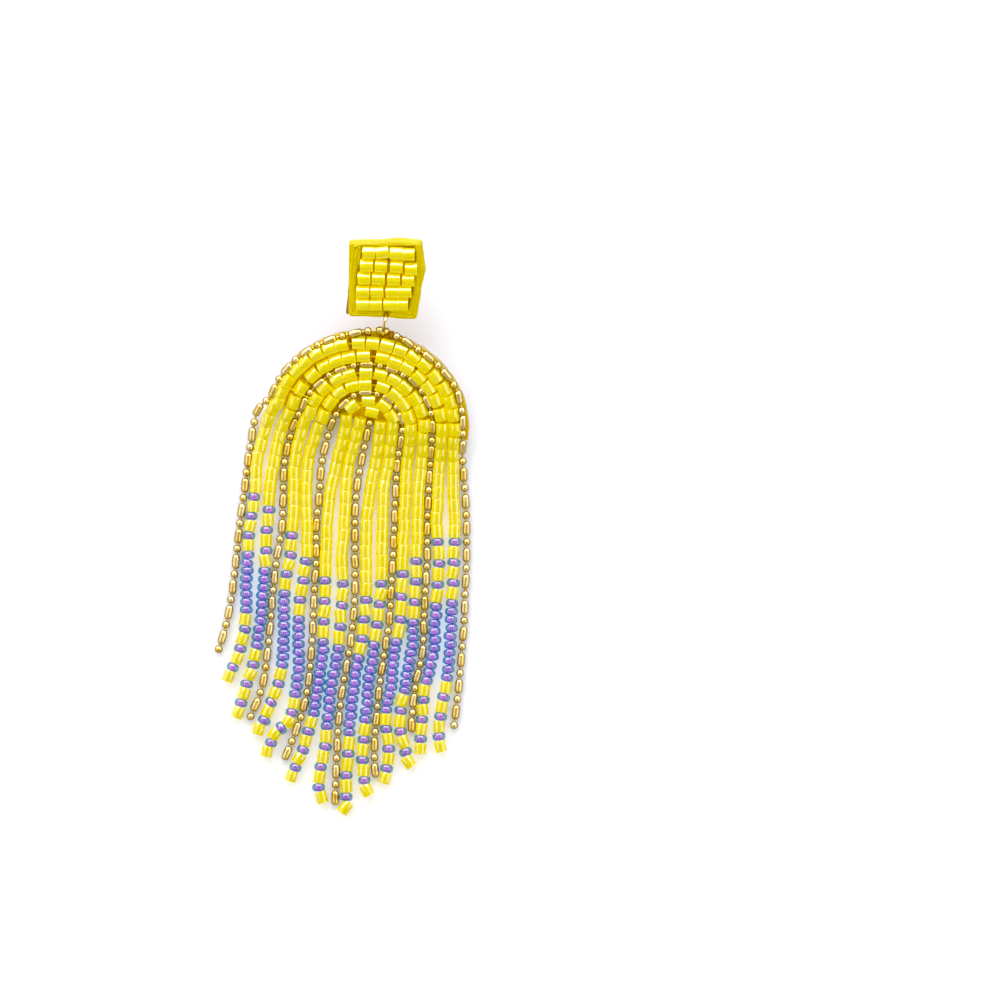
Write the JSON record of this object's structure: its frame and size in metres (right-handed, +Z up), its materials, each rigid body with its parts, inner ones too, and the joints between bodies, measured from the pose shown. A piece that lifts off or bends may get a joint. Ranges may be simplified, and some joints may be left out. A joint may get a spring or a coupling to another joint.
{
  "type": "beaded fringe earring",
  "caption": "Long drop earring with a square beaded stud, a jump ring, a semicircular beaded panel and a tapering fringe of bead strings and fine ball-and-bar chain.",
  "frame": {"origin": "middle of the base of the bounding box, on the surface that the earring lies on", "axes": "+X to the right of the beaded face, +Y along the earring from the tips of the fringe to the stud, +Z up from the surface, out of the beaded face"},
  "size_m": [0.0395, 0.0896, 0.0133],
  "materials": {
    "bead_yellow": "satin opaque glass",
    "bead_seed": "blue-green glass lined with purple",
    "brass": "polished pale gold plate",
    "leather": "matte tan",
    "felt": "matte felt",
    "thread": "wrapped sewing thread"
  },
  "bodies": {
    "root": {"square_backing": "leather", "square_base": "felt", "square_border": "thread", "square_beads": "bead_yellow", "square_thread": "thread", "ear_post": "brass", "jump_ring": "brass", "arch_backing": "leather", "arch_base": "felt", "arch_row_1": "bead_yellow", "arch_row_2": "bead_yellow", "arch_row_3": "bead_yellow", "arch_row_4": "bead_yellow", "arch_row_5": "bead_yellow", "arch_row_6": "bead_yellow", "arch_thread": "thread", "chain_rim_left": "brass", "chain_rim_right": "brass", "chain_middle": "brass", "chain_inner": "brass", "chain_center": "brass", "bead_string_1": "bead_yellow", "bead_string_2": "bead_yellow", "bead_string_3": "bead_yellow", "bead_string_4": "bead_yellow", "bead_string_5": "bead_yellow", "bead_string_6": "bead_yellow", "bead_string_7": "bead_yellow", "bead_string_8": "bead_yellow", "bead_string_9": "bead_yellow", "bead_string_10": "bead_yellow", "bead_string_11": "bead_yellow", "bead_string_12": "bead_yellow"}
  },
  "joints": []
}
